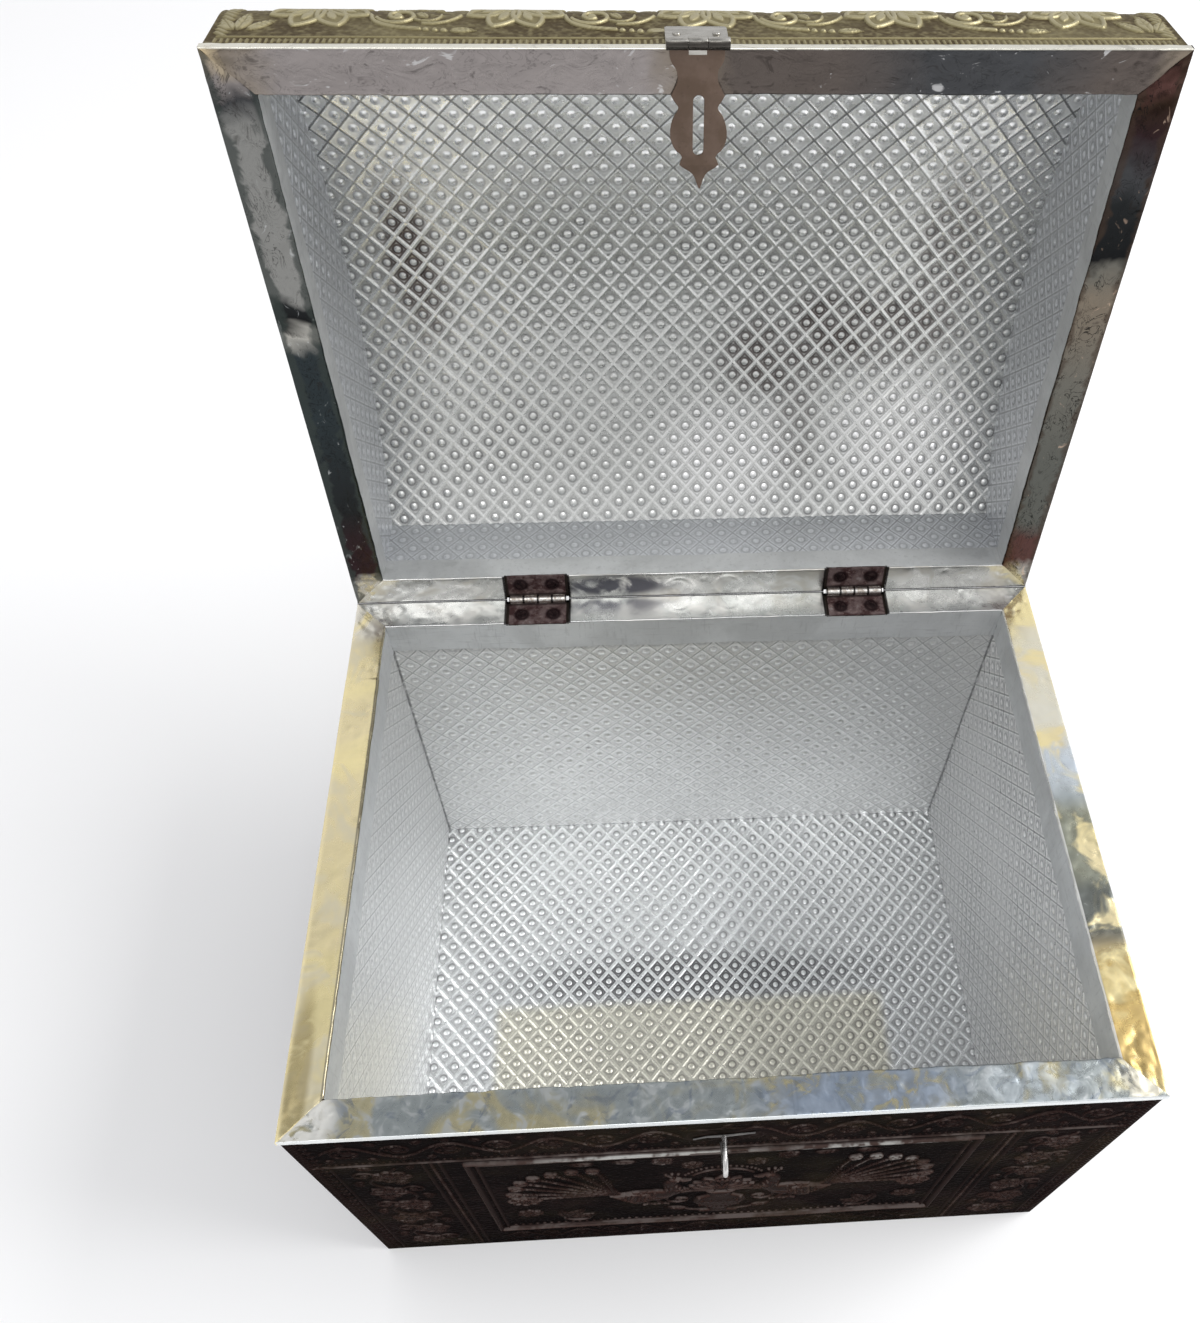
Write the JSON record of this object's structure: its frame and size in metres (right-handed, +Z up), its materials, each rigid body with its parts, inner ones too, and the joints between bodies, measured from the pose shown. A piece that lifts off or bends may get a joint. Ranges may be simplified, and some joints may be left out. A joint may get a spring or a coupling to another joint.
{
  "type": "ritual chest",
  "caption": "Wooden chest with an arched hinged lid, covered in embossed metal sheet outside and inside, with folded rim strips, butt hinges, a slotted hasp and a wire staple.",
  "frame": {"origin": "centre of the chest's underside, on the surface it stands on", "axes": "+X to the right seen from the front, +Y to the back, +Z up"},
  "size_m": [0.305, 0.3326, 0.4263],
  "materials": {
    "board": "plain sawn boards, hidden under the sheets",
    "outer_sheet": "embossed thin sheet, antique gold tone with dark recesses",
    "lining": "embossed thin sheet, silver tone with dark recesses",
    "rim_strip": "polished folded strip with hammer marks",
    "hinge_steel": "dark, slightly rusted steel",
    "bright_steel": "nickel plated steel",
    "bright_wire": "bright plated wire",
    "hasp_metal": "dark bronze tone",
    "nail_steel": "bare steel"
  },
  "bodies": {
    "box": {"box_front_board": "board", "box_back_board": "board", "box_left_board": "board", "box_right_board": "board", "box_bottom_board": "board", "box_sheet_front": "outer_sheet", "box_sheet_back": "outer_sheet", "box_sheet_left": "outer_sheet", "box_sheet_right": "outer_sheet", "box_lining_front": "lining", "box_lining_back": "lining", "box_lining_left": "lining", "box_lining_right": "lining", "box_lining_floor": "lining", "box_strip_front": "rim_strip", "box_strip_back": "rim_strip", "box_strip_left": "rim_strip", "box_strip_right": "rim_strip", "staple": "bright_wire", "staple_keeper": "bright_wire", "hinge_box_leaf_left": "hinge_steel", "hinge_box_leaf_right": "hinge_steel", "hinge_pin_left": "hinge_steel", "hinge_pin_right": "hinge_steel", "box_hinge_screws": "hinge_steel", "box_nails": "nail_steel"},
    "lid": {"lid_front_rail": "board", "lid_back_rail": "board", "lid_left_end": "board", "lid_right_end": "board", "lid_slat_1": "board", "lid_slat_2": "board", "lid_slat_3": "board", "lid_slat_4": "board", "lid_slat_5": "board", "lid_cover_sheet": "outer_sheet", "lid_end_sheet_left": "outer_sheet", "lid_end_sheet_right": "outer_sheet", "lid_lining_front": "lining", "lid_lining_back": "lining", "lid_lining_left": "lining", "lid_lining_right": "lining", "lid_lining_ceiling": "lining", "lid_strip_front": "rim_strip", "lid_strip_back": "rim_strip", "lid_strip_left": "rim_strip", "lid_strip_right": "rim_strip", "hinge_lid_leaf_left": "hinge_steel", "hinge_lid_leaf_right": "hinge_steel", "lid_hinge_screws": "hinge_steel", "hasp_leaf": "bright_steel", "hasp_leaf_pins": "bright_steel", "hasp_pin": "bright_steel", "lid_nails": "nail_steel"},
    "hasp": {"hasp_plate": "hasp_metal"}
  },
  "joints": [
    {"name": "lid_hinge", "type": "hinge", "parent": "box", "child": "lid", "pos_m": [0, 0.11559, 0.1917], "axis": [1, 0, 0], "range_deg": [0, 95.5]},
    {"name": "hasp_hinge", "type": "hinge", "parent": "lid", "child": "hasp", "pos_m": [-0.0032, 0.13675, 0.42449], "axis": [1, 0, 0], "range_deg": [-265, 0]}
  ]
}
